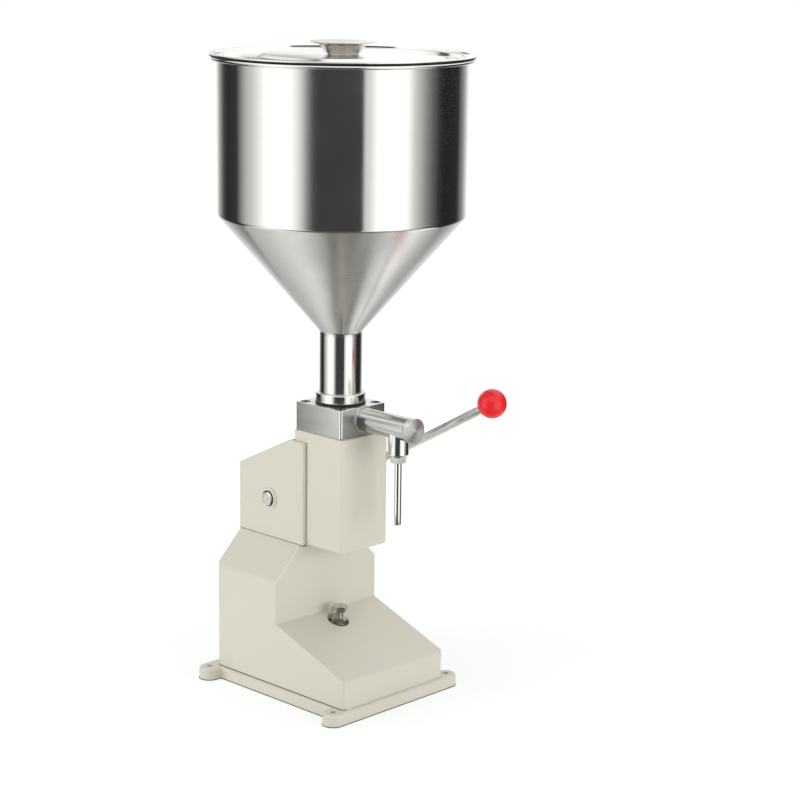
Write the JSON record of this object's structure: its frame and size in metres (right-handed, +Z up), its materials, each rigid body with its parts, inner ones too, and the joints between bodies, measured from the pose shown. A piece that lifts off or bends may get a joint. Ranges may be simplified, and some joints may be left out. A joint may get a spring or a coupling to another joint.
{
  "type": "manual piston paste filler",
  "caption": "Hand-lever piston filler for paste: conical hopper with lid, valve block, side outlet with thin nozzle, slotted crank drive, cast base with sloped apron.",
  "frame": {"origin": "on the table, under the axis that the hopper, the piston and the adjusting bolt share", "axes": "+Z up; -Y to the front, where the nozzle and the sloped apron are; +X to the side of the lever"},
  "size_m": [0.2872, 0.326, 0.7268],
  "materials": {
    "painted_casting": "semi-gloss ivory stoved paint over a lightly textured casting",
    "brushed_stainless": "circumferentially brushed bright stainless",
    "satin_stainless": "satin ground stainless",
    "polished_stainless": "polished stainless",
    "machined_steel": "turned or milled bright steel",
    "zinc_fasteners": "zinc-plated fasteners",
    "spring_steel": "drawn wire",
    "bronze": "machined bronze",
    "seal_rubber": "matt black rubber",
    "white_seal": "matt white fluoropolymer",
    "red_knob": "glossy moulded red plastic"
  },
  "bodies": {
    "frame": {"base_plate": "painted_casting", "base_screws": "zinc_fasteners", "lower_housing": "painted_casting", "lock_nut": "zinc_fasteners", "tower_housing": "painted_casting", "tower_screws": "zinc_fasteners", "rod_guide_bush": "bronze", "crank_case": "painted_casting", "case_screws": "zinc_fasteners", "shaft_bush_left": "bronze", "shaft_bush_right": "bronze", "valve_block": "satin_stainless", "block_screws": "zinc_fasteners", "piston_barrel": "machined_steel", "barrel_gasket": "seal_rubber", "hopper_collar": "brushed_stainless", "collar_seal": "seal_rubber", "inlet_seat": "machined_steel", "inlet_spring": "spring_steel", "outlet_tube": "brushed_stainless", "outlet_seat": "machined_steel", "outlet_spring": "spring_steel", "tube_cap": "polished_stainless", "cap_seal": "white_seal", "nozzle_nut": "polished_stainless", "nozzle_tube": "polished_stainless", "nozzle_seal": "white_seal"},
    "inlet_valve": {"inlet_poppet": "machined_steel", "stem_nut": "zinc_fasteners"},
    "outlet_valve": {"outlet_ball": "machined_steel"},
    "adjuster": {"adjusting_bolt": "zinc_fasteners"},
    "piston": {"piston_head": "machined_steel", "piston_seals": "seal_rubber", "piston_nut": "zinc_fasteners", "piston_rod": "machined_steel", "crosshead_pin": "machined_steel", "pin_clips": "zinc_fasteners"},
    "lever": {"pivot_shaft": "machined_steel", "shaft_keys": "machined_steel", "shaft_circlip": "zinc_fasteners", "thrust_washer": "machined_steel", "crank_arm": "machined_steel", "arm_set_screw": "zinc_fasteners", "lever_hub": "machined_steel", "hub_set_screw": "zinc_fasteners", "lever_rod": "machined_steel", "lever_nut": "zinc_fasteners", "ball_knob": "red_knob", "ball_insert": "bronze"},
    "hopper": {"hopper_cylinder": "brushed_stainless", "hopper_cone": "satin_stainless", "hopper_neck": "brushed_stainless"},
    "lid": {"lid": "polished_stainless", "lid_knob": "polished_stainless", "knob_screw": "zinc_fasteners"}
  },
  "joints": [
    {"name": "lever_hinge", "type": "hinge", "parent": "frame", "child": "lever", "pos_m": [0, 0.071, 0.215], "axis": [1, 0, 0], "range_deg": [0, 31.46]},
    {"name": "piston_slide", "type": "slide", "parent": "frame", "child": "piston", "axis": [0, 0, 1], "range_m": [-0.0402, 0]},
    {"name": "inlet_valve_slide", "type": "slide", "parent": "frame", "child": "inlet_valve", "axis": [0, 0, 1], "range_m": [-0.004, 0], "stiffness_N_per_m": 300, "springref_m": 0.004, "deforming": ["inlet_spring"]},
    {"name": "outlet_valve_slide", "type": "slide", "parent": "frame", "child": "outlet_valve", "axis": [0, -1, 0], "range_m": [0, 0.005], "stiffness_N_per_m": 200, "springref_m": -0.004, "deforming": ["outlet_spring"]},
    {"name": "adjuster_slide", "type": "slide", "parent": "frame", "child": "adjuster", "axis": [0, 0, 1], "range_m": [0, 0.024]},
    {"name": "hopper_lift", "type": "slide", "parent": "frame", "child": "hopper", "axis": [0, 0, 1], "range_m": [0, 0.12]},
    {"name": "lid_lift", "type": "slide", "parent": "hopper", "child": "lid", "axis": [0, 0, 1], "range_m": [0, 0.12]}
  ],
  "couplings": [
    {"joint": "piston_slide", "follows": "lever_hinge", "m_per_rad": -0.07284}
  ]
}
